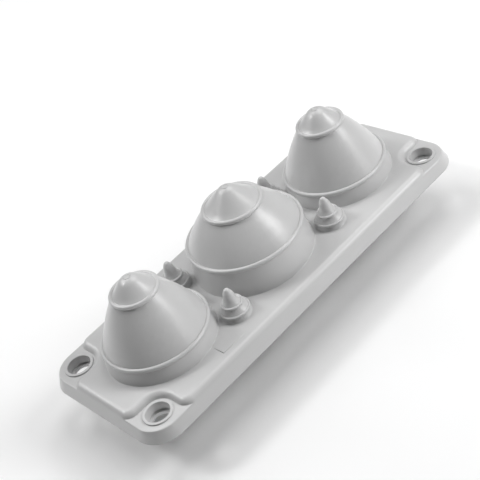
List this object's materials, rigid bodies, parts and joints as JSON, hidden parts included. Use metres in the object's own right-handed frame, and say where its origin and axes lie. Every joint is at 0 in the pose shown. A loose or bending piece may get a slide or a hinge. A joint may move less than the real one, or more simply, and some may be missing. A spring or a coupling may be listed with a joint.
{
  "type": "cable entry plate",
  "caption": "Long rounded plate with stepped conical membranes, small nipples between them and open flared sleeves behind, which seals the cables that pass through an enclosure wall.",
  "frame": {"origin": "middle of the rim plane, where the shell's skirt meets the wall of the enclosure, midway between the four screw holes", "axes": "+X along the plate, +Y across it, +Z out of the front, towards the membranes' tips"},
  "size_m": [0.25, 0.101, 0.0858],
  "materials": {
    "soft_shell": "satin",
    "inner_plate": "satin"
  },
  "bodies": {
    "root": {"membrane_shell": "soft_shell", "sleeve_plate": "inner_plate"}
  },
  "joints": []
}
